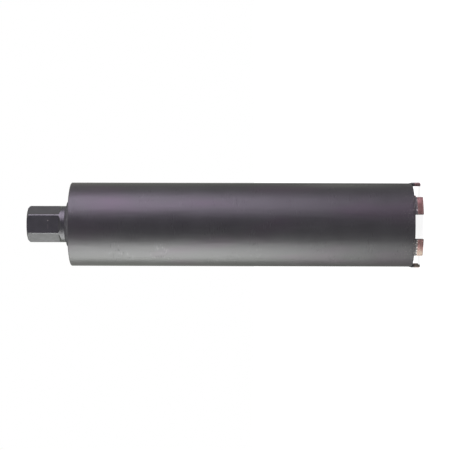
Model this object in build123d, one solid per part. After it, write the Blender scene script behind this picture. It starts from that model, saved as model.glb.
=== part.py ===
from build123d import *

import math
import os

# Diamond core bit for drilling concrete: a steel barrel, closed at the back by a welded plate,
# a hex hub with a female drive thread, and a crown of sintered segments welded to the open end.
# Lengths are in millimetres and angles in degrees. The axis of the bit is Z: the cutting face
# of the crown lies in z = 0, the barrel stands on it, and the hub is at the top.

# Barrel
tube_diameter = 108.0
tube_wall = 2.0
tube_length = 439.5
tube_back_chamfer = 0.8  # outer edge beside the back plate
tube_front_break = 0.2  # both edges at the open end

# Crown of segments
segment_count = 6
segment_length = 25.0  # along the arc of the outer face
segment_thickness = 3.5
segment_overhang = 1.0  # how far the segments stand outside the tube
diamond_height = 7.5  # layer that holds the diamonds
foot_height = 3.0  # steel layer without diamonds, which takes the weld
segment_edge_break = 0.4  # upright corners, and the edges of the cutting face
first_segment_angle = -2.5  # from +X; the crown is turned a little against the hub's flats

# Weld seams of the segments
seam_leg = 2.4  # along the tube
seam_lip = 0.15  # width of the foot's ledge that the seam leaves bare

# Back plate
plate_thickness = 8.0
plate_clearance = 0.05  # radial, in the tube
plate_bevel = 3.0  # weld preparation on the rim

# Hub
hub_length = 56.0  # above the back plate
hub_bar_diameter = 47.0  # round bar that the hub is turned from
hex_across_flats = 41.0
hex_flats = 6
hex_length = 41.0  # flats, from the hub's end to where they start to run out
hex_runout = 3.0  # slope from the flats up to the round collar
hub_end_chamfer = 2.5
spigot_diameter = 36.0
spigot_clearance = 0.05  # radial, in the plate
spigot_chamfer = 1.0
passage_diameter = 20.0  # water and suction passage into the barrel

# Drive thread, 1 1/4 in - 7 UNC: the bore is the thread's major diameter
thread_diameter = 31.75
thread_length = 36.0
thread_entry_chamfer = 1.5
tap_drill_diameter = 28.2
tap_drill_runout = 5.0  # drilled deeper than the thread
drill_point_angle = 118.0

# Weld between hub and plate
hub_seam_height = 8.0  # leg on the collar
hub_seam_width = 8.5  # leg on the plate
hub_seam_crown = 1.9  # how far the seam's face stands proud of the line between its toes

# Sizes that follow from the ones above
tube_radius = tube_diameter / 2
tube_bore_radius = tube_radius - tube_wall
segment_radius = tube_radius + segment_overhang
segment_bore_radius = segment_radius - segment_thickness
segment_span = math.degrees(segment_length / segment_radius)
tube_front_z = diamond_height + foot_height
tube_back_z = tube_front_z + tube_length
plate_radius = tube_bore_radius - plate_clearance
bar_radius = hub_bar_diameter / 2
spigot_radius = spigot_diameter / 2
passage_radius = passage_diameter / 2
thread_radius = thread_diameter / 2
tap_drill_radius = tap_drill_diameter / 2
hub_top_z = tube_back_z + hub_length


def turned(*corners):
    """A solid of revolution about Z from the (radius, z) corners of its half section."""
    outline = Polyline(*[(r, 0, z) for r, z in corners], close=True)
    return revolve(make_face(outline), Axis.Z, 360)


def barrel_tube():
    """The barrel: a plain tube, chamfered at the back and deburred at its open end."""
    return turned(
        (tube_bore_radius, tube_front_z + tube_front_break),
        (tube_bore_radius + tube_front_break, tube_front_z),
        (tube_radius - tube_front_break, tube_front_z),
        (tube_radius, tube_front_z + tube_front_break),
        (tube_radius, tube_back_z - tube_back_chamfer),
        (tube_radius - tube_back_chamfer, tube_back_z),
        (tube_bore_radius, tube_back_z),
    )


def back_plate():
    """The disc inside the tube's back end, bevelled for the weld, with the hub's hole."""
    hole_radius = spigot_radius + spigot_clearance
    inner_face_z = tube_back_z - plate_thickness
    return turned(
        (hole_radius, inner_face_z),
        (plate_radius, inner_face_z),
        (plate_radius, tube_back_z - plate_bevel),
        (plate_radius - plate_bevel, tube_back_z),
        (hole_radius, tube_back_z),
    )


def plate_weld():
    """The seam in the groove between the tube and the plate's bevel, faced off flush."""
    return turned(
        (tube_bore_radius, tube_back_z - plate_bevel),
        (tube_bore_radius, tube_back_z),
        (plate_radius - plate_bevel, tube_back_z),
        (plate_radius, tube_back_z - plate_bevel),
    )


def flat_cutter():
    """What one milling pass takes off the bar: a flat that runs out in a slope."""
    flat = hex_across_flats / 2
    outside = hub_bar_diameter
    flat_end_z = hub_top_z - hex_length
    slope = hex_runout / (bar_radius - flat)
    outline = Polyline(
        (flat, 0, hub_top_z + hub_end_chamfer),
        (flat, 0, flat_end_z),
        (outside, 0, flat_end_z - slope * (outside - flat)),
        (outside, 0, hub_top_z + hub_end_chamfer),
        close=True,
    )
    return extrude(make_face(outline), hub_bar_diameter, dir=(0, 1, 0), both=True)


def hub():
    """The hub: turned from round bar, bored for the thread, then milled with six flats."""
    spigot_z = tube_back_z - plate_thickness
    thread_top_z = hub_top_z - thread_entry_chamfer
    thread_end_z = thread_top_z - thread_length
    drill_end_z = thread_end_z - tap_drill_runout
    drill_point = (tap_drill_radius - passage_radius) / math.tan(math.radians(drill_point_angle / 2))
    body = turned(
        (passage_radius, spigot_z),
        (spigot_radius - spigot_chamfer, spigot_z),
        (spigot_radius, spigot_z + spigot_chamfer),
        (spigot_radius, tube_back_z),
        (bar_radius, tube_back_z),
        (bar_radius, hub_top_z - hub_end_chamfer),
        (bar_radius - hub_end_chamfer, hub_top_z),
        (thread_radius + thread_entry_chamfer, hub_top_z),
        (thread_radius, thread_top_z),
        (thread_radius, thread_end_z),
        (tap_drill_radius, thread_end_z),
        (tap_drill_radius, drill_end_z),
        (passage_radius, drill_end_z - drill_point),
    )
    pitch = 360 / hex_flats
    for index in range(hex_flats):
        body -= Rot(0, 0, (index + 0.5) * pitch) * flat_cutter()
    return body


def hub_weld():
    """The fillet seam round the foot of the hub's collar, with a full, rounded face."""
    face_length = math.hypot(hub_seam_height, hub_seam_width)
    crown_r = bar_radius + hub_seam_width / 2 + hub_seam_crown * hub_seam_height / face_length
    crown_z = tube_back_z + hub_seam_height / 2 + hub_seam_crown * hub_seam_width / face_length
    return turned(
        (bar_radius, tube_back_z),
        (bar_radius + hub_seam_width, tube_back_z),
        (crown_r, crown_z),
        (bar_radius, tube_back_z + hub_seam_height),
    )


def on_crown(section, index):
    """A section in the XZ plane, swept over the arc of one segment of the crown."""
    start = first_segment_angle + index * 360 / segment_count - segment_span / 2
    return revolve(Rot(0, 0, start) * section, Axis.Z, segment_span)


def segment_layer(low_z, high_z, index):
    """One layer of a segment between two heights, with its upright corners broken."""
    middle_radius = (segment_radius + segment_bore_radius) / 2
    section = Pos(middle_radius, 0, (low_z + high_z) / 2) * (
        Plane.XZ * Rectangle(segment_thickness, high_z - low_z)
    )
    layer = on_crown(section, index)
    return chamfer(layer.edges().filter_by(Axis.Z), segment_edge_break)


def diamond_segment(index):
    """The layer with the diamonds, its cutting face broken along the edges too."""
    layer = segment_layer(0, diamond_height, index)
    cutting_face = layer.faces().sort_by(Axis.Z)[0]
    return chamfer(cutting_face.edges(), segment_edge_break)


def segment_foot(index):
    """The steel foot, which stands on the end of the tube."""
    return segment_layer(diamond_height, tube_front_z, index)


def segment_weld(index):
    """The laser weld of one segment: a small bead in the corner outside the tube."""
    bead = Polyline(
        (tube_radius, 0, tube_front_z),
        (segment_radius - seam_lip, 0, tube_front_z),
        (tube_radius, 0, tube_front_z + seam_leg),
        close=True,
    )
    return on_crown(make_face(bead), index)


def pieces():
    """Every piece of the bit by name."""
    named = {
        "barrel_tube": barrel_tube(),
        "back_plate": back_plate(),
        "plate_weld": plate_weld(),
        "hub": hub(),
        "hub_weld": hub_weld(),
    }
    for index in range(segment_count):
        number = index + 1
        named[f"diamond_segment_{number}"] = diamond_segment(index)
        named[f"segment_foot_{number}"] = segment_foot(index)
        named[f"segment_weld_{number}"] = segment_weld(index)
    return named


os.makedirs("parts", exist_ok=True)
for name, shape in pieces().items():
    export_step(shape, f"parts/{name}.step")
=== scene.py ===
import math
import random

import bmesh
import bpy
from mathutils import Matrix, Vector


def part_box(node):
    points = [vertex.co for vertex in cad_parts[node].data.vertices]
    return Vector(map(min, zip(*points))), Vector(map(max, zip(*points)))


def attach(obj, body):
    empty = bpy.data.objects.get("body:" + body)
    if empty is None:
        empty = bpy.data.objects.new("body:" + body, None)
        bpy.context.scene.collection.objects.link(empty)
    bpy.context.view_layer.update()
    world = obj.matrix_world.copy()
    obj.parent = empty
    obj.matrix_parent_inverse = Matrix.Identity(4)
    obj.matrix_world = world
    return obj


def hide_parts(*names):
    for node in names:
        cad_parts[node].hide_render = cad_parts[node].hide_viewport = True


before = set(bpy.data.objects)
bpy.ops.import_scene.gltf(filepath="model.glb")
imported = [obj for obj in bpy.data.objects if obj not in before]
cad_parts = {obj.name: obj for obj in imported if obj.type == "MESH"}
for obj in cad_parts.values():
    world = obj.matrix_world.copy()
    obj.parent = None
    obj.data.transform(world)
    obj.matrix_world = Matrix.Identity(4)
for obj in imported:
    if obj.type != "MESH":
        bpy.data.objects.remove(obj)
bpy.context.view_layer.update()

# Lengths are in metres and angles in degrees. Only the sections of the welds and of the thread
# are in millimetres. The bit stands on its segments in z = 0, with its axis along Z. The camera
# looks along +Y, rolled so that the hub (+Z) is at the picture's left and +X is up.
MM = 0.001

# Places read from the frame
TUBE_BACK_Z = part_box("barrel_tube")[1].z
HUB_TOP_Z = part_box("hub")[1].z
FOOT_TOP_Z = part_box("segment_foot_1")[1].z
HEX_LENGTH = 41 * MM
HEX_END_Z = HUB_TOP_Z - HEX_LENGTH  # where the hub's flats start to run out

# Crown
SEGMENTS = range(1, 7)
SEGMENT_SPAN = math.degrees(25 / 55)  # an arc of 25 mm at a radius of 55 mm

# The hub's thread, 1 1/4 in - 7 UNC, in millimetres: a ridge that stands in from the bore's wall
THREAD_PITCH = 25.4 / 7
THREAD_RADIUS = 15.875
THREAD_DEPTH = 1.965
THREAD_BASE = THREAD_PITCH * 7 / 16  # half the ridge's width at the wall
THREAD_CREST = THREAD_PITCH / 8  # half its width at the crest
THREAD_TOP_Z = HUB_TOP_Z / MM - 3.3  # middle of the ridge at its upper end
THREAD_LOW_Z = HUB_TOP_Z / MM - 35.8  # and at its lower end
THREAD_STEPS = 96  # steps in a turn
THREAD_TAPER = 6  # the ridge rises from nothing over 1/6 of a turn at both ends
THREAD_FLOOR = 0.02  # least height of the ridge
THREAD_ROOT = 0.1  # how far the ridge reaches into the wall

# Marks on the hub
PUNCH_X = 4.6 * MM
PUNCH_RADIUS = 0.8 * MM
STROKE_X = -3.2 * MM
STROKE_HALF_SIZE = (3.4 * MM, 0.7 * MM)
MARKS_Z = 478.7 * MM
MARK_RIM = (1.3, 0.6)  # square of the distance from a mark's middle, in its half sizes
TURNED_LINE_Z = 460.6 * MM  # a faint line round the collar
TURNED_LINE_HALF_WIDTH = (0.7 * MM, 0.2 * MM)

# Where a finish fades in: it starts at the first value and is full at the second
HUB_FRONT_Y = (-18 * MM, -19 * MM)  # the flat that faces the camera
CROWN_FRONT_Y = (-30 * MM, -31 * MM)
HIGHLIGHT_PATCH_X = (-22 * MM, -30 * MM)  # the end of one segment that gets a painted highlight
HIGHLIGHT_PATCH_RAGGED = 10 * MM
RIM_Z = (TUBE_BACK_Z - 0.9 * MM, TUBE_BACK_Z - 0.7 * MM)  # chamfer at the barrel's back, which gets a painted highlight
RIM_RADIUS = (52.9 * MM, 53.1 * MM)
SPATTER_Z = (32 * MM, 13 * MM)
FLATS_Z = (HEX_END_Z - 1 * MM, HEX_END_Z)
COLLAR_Z = (HEX_END_Z, HEX_END_Z - 1 * MM)
CORNER_RADIUS = (23.15 * MM, 23.45 * MM)  # strips of the round bar on the hexagon's corners
COLLAR_RADIUS = (22.9 * MM, 23.3 * MM)
CORNER_HIGHLIGHT_X = (20 * MM, 16 * MM)  # to either side: only the corners near the middle get the painted highlight
UPPER_CORNER_HIGHLIGHT_X = (-12 * MM, 0.0)  # the painted highlight is weaker on the lower corners
COLLAR_DARKER_X = (-6 * MM, -12 * MM)
BORE_RADIUS = (17.6 * MM, 17.2 * MM)
LIGHTER_WELDS_X = (46 * MM, 51 * MM)  # to either side
FOOT_PAINT_Z = (8.6 * MM, 9.3 * MM)
FOOT_PAINT_RAGGED = 2.6 * MM
DARK_LOW_X = (-36 * MM, -22 * MM)  # painted shade on the sintered layer from here
DARK_TOP_X = (31 * MM, 17 * MM)  # to here
DULL_END_X = (0.0, -20 * MM)
LIGHT_EDGE_X = (0.0, 20 * MM)
CUTTING_EDGE_Z = (1.0 * MM, 0.35 * MM)
END_FACE = (0.6, 0.8)  # how far a face looks along the ring

# Camera
CAMERA_DISTANCE = 1.944  # from the axis of the bit
CAMERA_Z = 0.224  # the point of the axis that the camera is level with
AIM_Z = 0.2512  # the point of the axis in the middle of the picture
AIM_X = -0.0006
CAMERA_ROLL = 0.15
CAMERA_LENS = 120.0
SENSOR_WIDTH = 36.0

# Studio
CARD_PLACE = (0.0, -3.0, 0.5)
CARD_SIZE = (3.6, 2.6)
CARD_COLOUR = (0.44, 0.42, 0.53)
FLOOR_SIZE = 80.0
FLOOR_COLOUR = (0.5, 0.5, 0.5)
FLOOR_GLOW = 0.9  # what the camera sees besides the light that the floor reflects
MATT = 0.9  # roughness of card and floor
WHITE = (1.0, 1.0, 1.0)
FILL_STRENGTH = 0.45  # what the world adds to the lamps
BACKGROUND_STRENGTH = 1.0  # what camera and reflections see of it


def srgb(red, green, blue):
    """A colour given as 0 to 255 display values."""
    def linear(value):
        value /= 255
        return value / 12.92 if value <= 0.04045 else ((value + 0.055) / 1.055) ** 2.4
    return linear(red), linear(green), linear(blue)


def scaled(colour, factor):
    return tuple(channel * factor for channel in colour)


BARREL_COLOUR = srgb(75, 74, 76)
PLUM_COLOUR = srgb(79, 72, 79)
HUB_COLOUR = srgb(81, 80, 83)
# Painted highlight on the hexagon's corners
CORNER_HIGHLIGHT_COLOUR = srgb(116, 115, 118)
BURNT_COLOUR = srgb(58, 56, 58)
STEEL_COLOUR = srgb(150, 144, 142)
MATRIX_COLOUR = srgb(170, 128, 127)
MATRIX_END = srgb(142, 120, 118)
MATRIX_DULL_END = srgb(142, 138, 126)
MATRIX_BRIGHT = srgb(214, 195, 178)
MATRIX_EDGE = srgb(74, 58, 54)
CRYSTAL_COLOUR = srgb(176, 170, 150)


class Shader:
    """A new material and short ways to add nodes to it."""

    def __init__(self, name):
        self.material = bpy.data.materials.new(name)
        self.material.use_nodes = True
        self.nodes = self.material.node_tree.nodes
        self.links = self.material.node_tree.links
        self.bsdf = self.nodes["Principled BSDF"]
        self.position = self.add("ShaderNodeTexCoord").outputs["Object"]
        self.x, self.y, self.z = self.add("ShaderNodeSeparateXYZ", Vector=self.position).outputs

    def add(self, kind, **inputs):
        node = self.nodes.new(kind)
        for name, value in inputs.items():
            self.put(node.inputs[name.replace("_", " ")], value)
        return node

    def put(self, socket, value):
        if isinstance(value, bpy.types.NodeSocket):
            self.links.new(value, socket)
        else:
            socket.default_value = value

    def math(self, operation, first, second=0.0):
        node = self.nodes.new("ShaderNodeMath")
        node.operation = operation
        self.put(node.inputs[0], first)
        self.put(node.inputs[1], second)
        return node.outputs[0]

    def times(self, first, *others):
        for other in others:
            first = self.math("MULTIPLY", first, other)
        return first

    def plus(self, first, second):
        return self.math("ADD", first, second)

    def minus(self, first, second):
        return self.math("SUBTRACT", first, second)

    def size(self, value):
        """A value without its sign."""
        return self.math("ABSOLUTE", value)

    def vector_math(self, operation, first, second=(0.0, 0.0, 0.0)):
        node = self.add("ShaderNodeVectorMath")
        node.operation = operation
        self.put(node.inputs[0], first)
        self.put(node.inputs[1], second)
        return node.outputs["Value" if operation == "DOT_PRODUCT" else "Vector"]

    def stretched(self, across, along, offset=0.0):
        """Position scaled by one factor in X and Y and another along the axis."""
        node = self.add("ShaderNodeMapping", Vector=self.position)
        node.inputs["Scale"].default_value = (across, across, along)
        node.inputs["Location"].default_value = (offset, offset, offset)
        return node.outputs[0]

    def radius(self):
        """Distance from the axis of the bit."""
        squares = self.plus(self.times(self.x, self.x), self.times(self.y, self.y))
        return self.math("SQRT", squares)

    def noise(self, vector, scale=1.0, detail=2.0):
        node = self.add("ShaderNodeTexNoise", Vector=vector, Scale=scale, Detail=detail)
        return node.outputs["Fac"]

    def cells(self, vector, scale=1.0):
        """Distance from the middle of the nearest cell."""
        return self.add("ShaderNodeTexVoronoi", Vector=vector, Scale=scale).outputs["Distance"]

    def range(self, value, low, high, to_low=0.0, to_high=1.0):
        node = self.nodes.new("ShaderNodeMapRange")
        node.clamp = True
        for index, number in enumerate((value, low, high, to_low, to_high)):
            self.put(node.inputs[index], number)
        return node.outputs[0]

    def mix(self, factor, first, second):
        node = self.nodes.new("ShaderNodeMix")
        node.data_type = "RGBA"
        self.put(node.inputs[0], factor)
        for socket, value in ((node.inputs[6], first), (node.inputs[7], second)):
            if not isinstance(value, bpy.types.NodeSocket):
                value = (*value, 1.0)
            self.put(socket, value)
        return node.outputs[2]

    def shades(self, factor, colour, first, second):
        """A colour that goes from one multiple of itself to another with the factor."""
        return self.mix(factor, scaled(colour, first), scaled(colour, second))

    def bump(self, height, strength, distance, normal=None):
        node = self.add("ShaderNodeBump", Height=height, Strength=strength, Distance=distance)
        if normal is not None:
            self.links.new(normal, node.inputs["Normal"])
        return node.outputs["Normal"]

    def spot(self, x, z, half_x, half_z):
        """1 inside an upright ellipse on the hub's flat that faces the camera, fading at its
        rim."""
        across = self.math("DIVIDE", self.minus(self.x, x), half_x)
        along = self.math("DIVIDE", self.minus(self.z, z), half_z)
        distance = self.plus(self.times(across, across), self.times(along, along))
        return self.times(self.range(distance, *MARK_RIM), self.range(self.y, *HUB_FRONT_Y))

    def highlight_patch(self):
        """1 on the stretch of the crown where a segment's end gets a painted highlight, 0
        elsewhere.
        """
        ragged = self.times(self.noise(self.position, scale=300.0), HIGHLIGHT_PATCH_RAGGED)
        place = self.plus(self.x, ragged)
        return self.times(self.range(place, *HIGHLIGHT_PATCH_X), self.range(self.y, *CROWN_FRONT_Y))

    def end_face(self):
        """1 on a segment's end faces, which look along the ring, and 0 on its other faces."""
        normal = self.add("ShaderNodeNewGeometry").outputs["True Normal"]
        along_ring = self.vector_math("CROSS_PRODUCT", self.position, (0.0, 0.0, 1.0))
        along_ring = self.vector_math("NORMALIZE", along_ring)
        faced = self.vector_math("DOT_PRODUCT", along_ring, normal)
        return self.range(self.size(faced), *END_FACE)

    def finish(self, **inputs):
        for name, value in inputs.items():
            if isinstance(value, tuple) and len(value) == 3:
                value = (*value, 1.0)
            self.put(self.bsdf.inputs[name.replace("_", " ")], value)
        return self.material


def finish_paint(s, colour, roughness, normal):
    """Satin graphite paint with metal flake: dark, with a broad, soft gloss."""
    return s.finish(Base_Color=colour, Roughness=roughness, Metallic=0.75, Normal=normal,
                    IOR=1.25, Specular_Tint=(0.68, 0.72, 0.62))


def barrel_paint():
    """The barrel's paint over drawn tube, with rub marks round it and spatter at the crown."""
    s = Shader("barrel_paint")
    mottle = s.noise(s.position, scale=34.0, detail=4.0)
    plum = s.noise(s.stretched(26.0, 11.0, 3.1))
    drawn = s.noise(s.stretched(95.0, 9.0, 4.6), detail=3.0)
    colour = s.shades(s.range(mottle, 0.3, 0.7), BARREL_COLOUR, 0.94, 1.06)
    colour = s.mix(s.range(plum, 0.50, 0.70, 0.0, 0.6), colour, PLUM_COLOUR)
    colour = s.mix(s.range(drawn, 0.58, 0.72, 0.0, 0.3), colour, scaled(BARREL_COLOUR, 1.3))

    # Short rub marks round the barrel, in clusters
    clusters = s.range(s.noise(s.stretched(30.0, 40.0, 7.7), detail=1.0), 0.50, 0.64)
    bright = s.range(s.noise(s.stretched(140.0, 620.0), detail=1.0), 0.62, 0.70)
    dull = s.range(s.noise(s.stretched(140.0, 620.0, 5.3), detail=1.0), 0.62, 0.70)
    bright = s.times(bright, clusters)
    dull = s.times(dull, clusters)
    colour = s.mix(s.times(bright, 0.3), colour, scaled(BARREL_COLOUR, 1.5))
    colour = s.mix(s.times(dull, 0.3), colour, scaled(BARREL_COLOUR, 0.5))
    roughness = s.range(mottle, 0.2, 0.8, 0.39, 0.45)
    roughness = s.minus(roughness, s.times(bright, 0.10))
    roughness = s.plus(roughness, s.times(dull, 0.10))

    # Painted highlight along the chamfer at the barrel's back
    rim = s.times(s.range(s.z, *RIM_Z), s.range(s.radius(), *RIM_RADIUS))
    colour = s.mix(rim, colour, scaled(BARREL_COLOUR, 1.3))

    # Weld spatter, in patches
    dots = s.range(s.noise(s.position, scale=1050.0, detail=1.0), 0.66, 0.72)
    patches = s.range(s.noise(s.position, scale=42.0, detail=0.0), 0.44, 0.60)
    dots = s.times(dots, s.range(s.z, *SPATTER_Z), patches)
    colour = s.mix(dots, colour, scaled(STEEL_COLOUR, 0.7))

    waves = s.noise(s.stretched(55.0, 11.0, 1.9))
    grain = s.noise(s.position, scale=2400.0)
    normal = s.bump(waves, 1.0, 0.0004)
    normal = s.bump(grain, 0.12, 0.0002, normal)
    normal = s.bump(dots, 0.6, 0.0002, normal)
    return finish_paint(s, colour, roughness, normal)


def plate_paint():
    """The back plate's paint, through which the turning marks show."""
    s = Shader("plate_paint")
    rings = s.noise(s.times(s.radius(), 1400.0), detail=3.0)
    mottle = s.noise(s.position, scale=60.0, detail=3.0)
    colour = s.shades(s.range(mottle, 0.3, 0.7), BARREL_COLOUR, 0.88, 1.1)
    colour = s.mix(s.range(rings, 0.35, 0.65, 0.0, 0.35), colour, scaled(BARREL_COLOUR, 1.35))
    return finish_paint(s, colour, 0.42, s.bump(rings, 0.4, 0.0003))


def hub_paint():
    """The hub's paint, with a painted highlight along the hexagon's corners; bare in the threaded
    bore.
    """
    s = Shader("hub_paint")
    mottle = s.noise(s.position, scale=90.0, detail=3.0)
    radius = s.radius()
    colour = s.shades(s.range(mottle, 0.3, 0.7), HUB_COLOUR, 0.92, 1.08)

    # Painted highlight on the corners of the hexagon, weaker on the lower ones
    corner = s.times(s.range(radius, *CORNER_RADIUS), s.range(s.z, *FLATS_Z))
    ragged = s.range(s.noise(s.position, scale=420.0), 0.30, 0.55, 0.55, 1.0)
    highlight_place = s.times(s.range(s.x, *UPPER_CORNER_HIGHLIGHT_X, 0.3, 1.0), s.range(s.size(s.x), *CORNER_HIGHLIGHT_X))
    colour = s.mix(s.times(corner, ragged, highlight_place), colour, CORNER_HIGHLIGHT_COLOUR)

    # Round collar, with a line turned in it, and darker on its lower side
    collar = s.times(s.range(radius, *COLLAR_RADIUS), s.range(s.z, *COLLAR_Z))
    line = s.range(s.size(s.minus(s.z, TURNED_LINE_Z)), *TURNED_LINE_HALF_WIDTH)
    line = s.times(line, collar)
    darker_side = s.times(s.range(s.x, *COLLAR_DARKER_X), collar)
    colour = s.mix(s.times(line, 0.25), colour, scaled(HUB_COLOUR, 0.5))
    colour = s.mix(s.times(darker_side, 0.45), colour, scaled(HUB_COLOUR, 0.55))

    punch = s.spot(PUNCH_X, MARKS_Z, PUNCH_RADIUS, PUNCH_RADIUS)
    stroke = s.spot(STROKE_X, MARKS_Z, *STROKE_HALF_SIZE)
    colour = s.mix(punch, colour, scaled(STEEL_COLOUR, 0.8))
    colour = s.mix(s.times(stroke, 0.35), colour, scaled(STEEL_COLOUR, 0.5))
    colour = s.mix(s.range(radius, *BORE_RADIUS), colour, scaled(STEEL_COLOUR, 0.55))

    waves = s.noise(s.position, scale=70.0, detail=1.0)
    grain = s.noise(s.position, scale=2100.0)
    normal = s.bump(waves, 1.0, 0.00025)
    normal = s.bump(grain, 0.12, 0.0002, normal)
    normal = s.bump(s.minus(1.0, punch), 0.5, 0.0002, normal)
    return finish_paint(s, colour, s.range(mottle, 0.2, 0.8, 0.35, 0.41), normal)


def weld_paint():
    """Paint over a weld bead, a little duller and dustier than on the turned steel."""
    s = Shader("weld_paint")
    mottle = s.noise(s.position, scale=240.0, detail=4.0)
    grain = s.noise(s.position, scale=1700.0, detail=3.0)
    colour = s.shades(s.range(mottle, 0.35, 0.7), HUB_COLOUR, 0.95, 1.6)
    return finish_paint(s, colour, 0.6, s.bump(grain, 0.35, 0.0003))


def burnt_weld():
    """The segments' welds: burnt dark, lighter on the two at ±X, with bright spatter."""
    s = Shader("burnt_weld")
    mottle = s.noise(s.position, scale=420.0, detail=4.0)
    beads = s.range(s.noise(s.position, scale=1000.0, detail=1.0), 0.64, 0.70)
    colour = s.shades(s.range(mottle, 0.35, 0.7), BURNT_COLOUR, 0.7, 1.3)
    colour = s.mix(s.range(s.size(s.x), *LIGHTER_WELDS_X), colour, scaled(BARREL_COLOUR, 1.6))
    colour = s.mix(beads, colour, STEEL_COLOUR)
    return finish_paint(s, colour, 0.5, s.bump(mottle, 0.6, 0.0003))


def foot_steel():
    """A segment's foot: ground steel, painted and burnt beside the weld."""
    s = Shader("foot_steel")
    lines = s.noise(s.stretched(50.0, 2600.0))
    cells = s.cells(s.stretched(430.0, 260.0))
    bare = s.shades(s.range(cells, 0.25, 0.5), STEEL_COLOUR, 1.5, 0.45)

    # The paint ends in a ragged line and is flecked
    edge = s.noise(s.position, scale=520.0, detail=3.0)
    height = s.plus(s.z, s.times(s.minus(edge, 0.5), FOOT_PAINT_RAGGED))
    painted = s.range(height, *FOOT_PAINT_Z)
    specks = s.range(s.noise(s.position, scale=620.0, detail=1.0), 0.56, 0.64, 0.0, 0.8)
    # More flecks in the patch of painted highlight
    specks = s.times(specks, s.range(s.highlight_patch(), 0.0, 1.0, 0.5, 1.25))
    painted = s.minus(painted, specks)
    painted = s.math("MAXIMUM", painted, s.range(cells, 0.35, 0.6, 0.0, 0.6))
    painted = s.math("MAXIMUM", painted, s.times(s.end_face(), 0.85))
    return s.finish(Base_Color=s.mix(painted, bare, BARREL_COLOUR),
                    Roughness=s.range(painted, 0.0, 1.0, 0.36, 0.46), Metallic=0.9,
                    Normal=s.bump(lines, 0.25, 0.0001))


def diamond_matrix():
    """The sintered layer: copper-coloured metal in thin layers, with diamond grit."""
    s = Shader("diamond_matrix")
    grain = s.noise(s.position, scale=900.0, detail=3.0)
    cloud = s.noise(s.position, scale=130.0)
    colour = s.shades(s.range(grain, 0.3, 0.7), MATRIX_COLOUR, 0.78, 1.22)
    # Painted highlight on the end of the lower front segment
    patch_highlight = s.times(s.highlight_patch(), s.range(grain, 0.25, 0.5, 0.55, 1.0))
    colour = s.mix(patch_highlight, colour, MATRIX_BRIGHT)

    # Painted shade towards the middle in X, where the segments face the camera rather than the
    # lamps; darker in clouds too
    middle = s.math("MINIMUM", s.range(s.x, *DARK_TOP_X, 0.0, 0.7),
                    s.range(s.x, *DARK_LOW_X, 0.0, 0.65))
    colour = s.mix(middle, colour, scaled(MATRIX_EDGE, 1.7))
    colour = s.mix(s.range(cloud, 0.45, 0.7, 0.0, 0.35), colour, scaled(MATRIX_EDGE, 1.6))
    layers = s.noise(s.stretched(170.0, 520.0, 2.2))
    colour = s.mix(s.range(layers, 0.5, 0.66, 0.0, 0.35), colour, scaled(MATRIX_COLOUR, 1.4))
    colour = s.mix(s.range(layers, 0.5, 0.36, 0.0, 0.3), colour, scaled(MATRIX_EDGE, 1.8))

    crystal = s.range(s.cells(s.position, scale=1150.0), 0.26, 0.20)
    chosen = s.range(s.noise(s.position, scale=800.0, detail=0.0), 0.52, 0.56)
    crystal = s.times(crystal, chosen)
    colour = s.mix(s.times(crystal, 0.7), colour, CRYSTAL_COLOUR)

    end_colour = s.mix(s.range(s.x, *DULL_END_X), MATRIX_END, MATRIX_DULL_END)
    colour = s.mix(s.times(s.end_face(), 0.85), colour, end_colour)
    edge = s.mix(s.range(s.x, *LIGHT_EDGE_X), MATRIX_EDGE, scaled(MATRIX_BRIGHT, 0.8))
    colour = s.mix(s.range(s.z, *CUTTING_EDGE_Z, 0.0, 0.75), colour, edge)

    normal = s.bump(grain, 0.35, 0.0002)
    normal = s.bump(crystal, 0.5, 0.0002, normal)
    return s.finish(Base_Color=colour, Roughness=0.27, Metallic=0.85, Normal=normal)


def thread_steel():
    """The cut thread: oily steel."""
    s = Shader("thread_steel")
    lines = s.noise(s.stretched(90.0, 3200.0))
    colour = s.shades(s.range(lines, 0.35, 0.65), STEEL_COLOUR, 0.5, 0.8)
    return s.finish(Base_Color=colour, Roughness=0.34, Metallic=0.9,
                    Normal=s.bump(lines, 0.2, 0.0001))


def give(material, *names):
    """Sets the one material of some of the solids."""
    for name in names:
        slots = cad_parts[name].data.materials
        slots.clear()
        slots.append(material)


def mesh_piece(name, points, faces, material, smooth=True):
    """A mesh object from points in millimetres; it rides on the bit."""
    mesh = bpy.data.meshes.new(name)
    mesh.from_pydata([(x * MM, y * MM, z * MM) for x, y, z in points], [], faces)
    mesh.validate()
    mesh.polygons.foreach_set("use_smooth", [smooth] * len(mesh.polygons))
    mesh.materials.append(material)
    work = bmesh.new()
    work.from_mesh(mesh)
    bmesh.ops.recalc_face_normals(work, faces=work.faces)
    work.to_mesh(mesh)
    work.free()
    piece = bpy.data.objects.new(name, mesh)
    bpy.context.scene.collection.objects.link(piece)
    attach(piece, "root")
    return piece


def swept(sections, closed):
    """Points and faces of a closed section carried through a row of places. A closed row
    joins its end to its start, and an open one gets a cap at either end."""
    count, size = len(sections), len(sections[0])
    points = [point for section in sections for point in section]
    faces = []
    for row in range(count if closed else count - 1):
        following = (row + 1) % count
        for column in range(size):
            beside = (column + 1) % size
            faces.append((row * size + column, following * size + column,
                          following * size + beside, row * size + beside))
    if not closed:
        faces.append(tuple(range(size)))
        faces.append(tuple((count - 1) * size + column for column in range(size)))
    return points, faces


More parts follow.
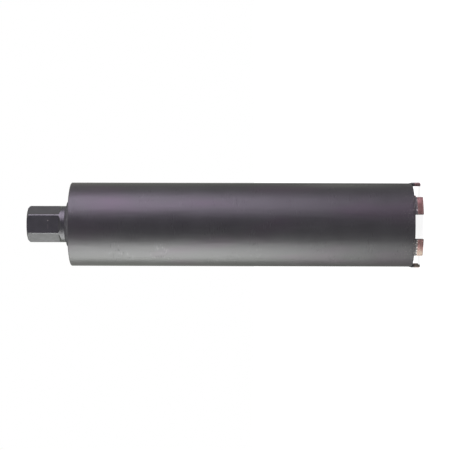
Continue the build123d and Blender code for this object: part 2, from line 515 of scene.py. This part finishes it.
def bead_sections(face, back, start, span, pitch, steps, height, seed):
    """Sections of a weld bead along an arc about the axis, in millimetres.

    face is the bead's face as (radius, z) points from toe to toe, and back the points behind it.
    The face is heaped up in ripples, which bow forward in the middle of the bead. pitch is a
    ripple's length and height how high it is."""
    chance = random.Random(seed)
    ripples = max(1, round(math.radians(span) * face[len(face) // 2][0] / pitch))
    jitter = [chance.uniform(-0.14, 0.14) for _ in range(ripples + 2)]
    swell = [chance.uniform(0.7, 1.15) for _ in range(ripples + 2)]
    bow = 0.45  # of a ripple's length
    sunk = 0.75  # of the height: how far the valleys lie below the given face
    low, high = face[0], face[-1]
    length = math.hypot(high[0] - low[0], high[1] - low[1])
    out_r, out_z = (low[1] - high[1]) / length, (high[0] - low[0]) / length
    last = len(face) - 1
    count = ripples * steps if span >= 360 else ripples * steps + 1
    sections = []
    for index in range(count):
        turn = index / (ripples * steps)
        angle = math.radians(start + span * turn)
        section = []
        for place, (r, z) in enumerate(face):
            t = 2 * place / last - 1
            phase = turn * ripples + bow * (1 - t * t)
            whole = math.floor(phase) % ripples
            part = (phase + jitter[whole] * (1 - t * t)) % 1.0
            heap = (1 - (2 * part - 1) ** 2) * swell[whole] * (1 - t * t) ** 0.5
            lift = 0.0 if place in (0, last) else height * (heap - sunk)
            section.append(((r + out_r * lift) * math.cos(angle),
                            (r + out_r * lift) * math.sin(angle), z + out_z * lift))
        section += [(r * math.cos(angle), r * math.sin(angle), z) for r, z in back]
        sections.append(section)
    return sections


def add_hub_weld(material):
    """The rippled fillet weld round the hub's collar."""
    foot = TUBE_BACK_Z / MM
    outline = ((23.5, 7.5), (24.0, 6.75), (24.7, 6.1), (25.6, 5.75), (26.6, 5.7), (27.7, 5.6),
               (28.8, 5.2), (29.7, 4.4), (30.5, 3.3), (31.1, 2.1), (31.6, 1.0), (32.0, 0.0))
    face = [(r, foot + z) for r, z in outline]
    back = ((31.0, foot - 0.1), (23.4, foot - 0.1), (23.4, foot + 6.5))
    sections = bead_sections(face, back, start=0, span=360, pitch=1.7, steps=9, height=0.32,
                             seed=11)
    weld = mesh_piece("hub_weld_bead", *swept(sections, True), material)
    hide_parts("hub_weld")


def add_segment_weld(number, material):
    """The bead outside the tube at one segment, over the same arc as the segment."""
    low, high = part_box(f"segment_foot_{number}")
    middle = math.degrees(math.atan2(low.y + high.y, low.x + high.x))
    foot = FOOT_TOP_Z / MM
    outline = ((54.84, 0.0), (54.78, 0.35), (54.66, 0.8), (54.50, 1.3), (54.30, 1.8),
               (54.12, 2.2), (54.0, 2.4))
    face = [(r, foot + z) for r, z in outline]
    back = ((53.9, foot + 2.2), (53.9, foot - 0.05), (54.6, foot - 0.05))
    sections = bead_sections(face, back, start=middle - SEGMENT_SPAN / 2, span=SEGMENT_SPAN,
                             pitch=0.75, steps=7, height=0.10, seed=number)
    weld = mesh_piece(f"segment_weld_bead_{number}", *swept(sections, False), material)
    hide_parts(f"segment_weld_{number}")


def add_thread(material):
    """The hub's internal thread as one ridge that winds down the bore."""
    turns = (THREAD_TOP_Z - THREAD_LOW_Z) / THREAD_PITCH
    sections = []
    for index in range(round(turns * THREAD_STEPS) + 1):
        wound = index / THREAD_STEPS
        angle = -2 * math.pi * wound
        taper = min(1.0, THREAD_TAPER * wound, THREAD_TAPER * (turns - wound))
        depth = max(THREAD_DEPTH * taper, THREAD_FLOOR)
        z = THREAD_TOP_Z - wound * THREAD_PITCH
        inner, outer = THREAD_RADIUS - depth, THREAD_RADIUS + THREAD_ROOT
        half = THREAD_CREST + (THREAD_BASE - THREAD_CREST) * (1 - depth / THREAD_DEPTH)
        corners = ((outer, -THREAD_BASE), (inner, -half), (inner, half), (outer, THREAD_BASE))
        sections.append([(r * math.cos(angle), r * math.sin(angle), z + dz)
                         for r, dz in corners])
    thread = mesh_piece("hub_thread", *swept(sections, False), material, smooth=False)


def dress_bit():
    """Materials for every solid, and the pieces that are finer than the solids."""
    give(barrel_paint(), "barrel_tube")
    give(plate_paint(), "back_plate", "plate_weld")
    give(hub_paint(), "hub")
    give(foot_steel(), *[f"segment_foot_{n}" for n in SEGMENTS])
    give(diamond_matrix(), *[f"diamond_segment_{n}" for n in SEGMENTS])
    painted, burnt = weld_paint(), burnt_weld()
    give(painted, "hub_weld")
    give(burnt, *[f"segment_weld_{n}" for n in SEGMENTS])
    add_hub_weld(painted)
    for number in SEGMENTS:
        add_segment_weld(number, burnt)
    add_thread(thread_steel())


def add_camera():
    data = bpy.data.cameras.new("camera")
    data.lens = CAMERA_LENS
    data.sensor_width = SENSOR_WIDTH
    camera = bpy.data.objects.new("camera", data)
    bpy.context.scene.collection.objects.link(camera)
    place = Vector((AIM_X, -CAMERA_DISTANCE, CAMERA_Z))
    view = (Vector((AIM_X, 0.0, AIM_Z)) - place).normalized()
    picture_up = Vector((1.0, 0.0, 0.0))
    right = view.cross(picture_up).normalized()
    up = right.cross(view)
    turn = Matrix((right, up, -view)).transposed().to_4x4()
    roll = Matrix.Rotation(math.radians(CAMERA_ROLL), 4, "Z")
    camera.matrix_world = Matrix.Translation(place) @ turn @ roll
    bpy.context.scene.camera = camera


def soft_box(name, direction, distance, z, aim_z, size, power, colour):
    """A lamp that aims at a point of the axis. direction is the angle about the axis from the
    camera's side (-Y), positive towards +X, which is up in the picture."""
    data = bpy.data.lights.new(name, "AREA")
    data.shape = "RECTANGLE"
    data.size, data.size_y = size
    data.energy = power
    data.color = colour
    light = bpy.data.objects.new(name, data)
    bpy.context.scene.collection.objects.link(light)
    angle = math.radians(direction)
    place = Vector((distance * math.sin(angle), -distance * math.cos(angle), z))
    light.location = place
    light.rotation_euler = (Vector((0, 0, aim_z)) - place).to_track_quat("-Z", "Y").to_euler()
    light.visible_camera = False


def add_lights():
    soft_box("soft_box_upper", direction=59.3, distance=1.6, z=0.66, aim_z=0.3,
             size=(1.55, 1.0), power=22.6, colour=(1.0, 0.885, 1.09))
    soft_box("soft_box_lower", direction=-84, distance=1.6, z=0.46, aim_z=0.3,
             size=(1.8, 0.76), power=37.0, colour=(0.985, 1.015, 0.965))
    soft_box("soft_box_rim", direction=133, distance=0.7, z=0.06, aim_z=0.05,
             size=(0.25, 0.1), power=0.11, colour=WHITE)


def add_card():
    """A card behind the camera, darker than the white round it. The barrel's middle reflects
    it."""
    bpy.ops.mesh.primitive_plane_add(size=1.0, location=CARD_PLACE)
    card = bpy.context.object
    card.name = "dark_card"
    card.scale = (*CARD_SIZE, 1.0)
    card.rotation_euler = (math.radians(90), 0, 0)
    card.visible_camera = False
    s = Shader("dark_card")
    card.data.materials.append(s.finish(Base_Color=CARD_COLOUR, Roughness=MATT))


def add_world():
    """Plain fill light, which camera and reflections see as white."""
    world = bpy.data.worlds.new("studio")
    bpy.context.scene.world = world
    world.use_nodes = True
    nodes, links = world.node_tree.nodes, world.node_tree.links
    nodes.clear()
    path = nodes.new("ShaderNodeLightPath")
    seen = path.outputs["Is Camera Ray"]
    for name in ("Is Glossy Ray", "Is Transmission Ray"):
        either = nodes.new("ShaderNodeMath")
        either.operation = "MAXIMUM"
        links.new(seen, either.inputs[0])
        links.new(path.outputs[name], either.inputs[1])
        seen = either.outputs[0]
    mix = nodes.new("ShaderNodeMixShader")
    links.new(seen, mix.inputs[0])
    for socket, strength in ((mix.inputs[1], FILL_STRENGTH), (mix.inputs[2], BACKGROUND_STRENGTH)):
        background = nodes.new("ShaderNodeBackground")
        background.inputs["Color"].default_value = (*WHITE, 1.0)
        background.inputs["Strength"].default_value = strength
        links.new(background.outputs[0], socket)
    output = nodes.new("ShaderNodeOutputWorld")
    links.new(mix.outputs[0], output.inputs["Surface"])


def add_floor():
    """A pale floor that shows white to the camera and keeps the shadow of the bit."""
    bpy.ops.mesh.primitive_plane_add(size=FLOOR_SIZE, location=(0, 0, 0))
    floor = bpy.context.object
    floor.name = "floor"
    s = Shader("floor")
    path = s.add("ShaderNodeLightPath")
    glow = s.times(path.outputs["Is Camera Ray"], FLOOR_GLOW)
    floor.data.materials.append(s.finish(Base_Color=FLOOR_COLOUR, Roughness=MATT,
                                         Specular_IOR_Level=0.0, Emission_Color=WHITE,
                                         Emission_Strength=glow))


dress_bit()
bpy.context.scene.view_settings.view_transform = "Standard"
add_camera()
add_lights()
add_card()
add_world()
add_floor()
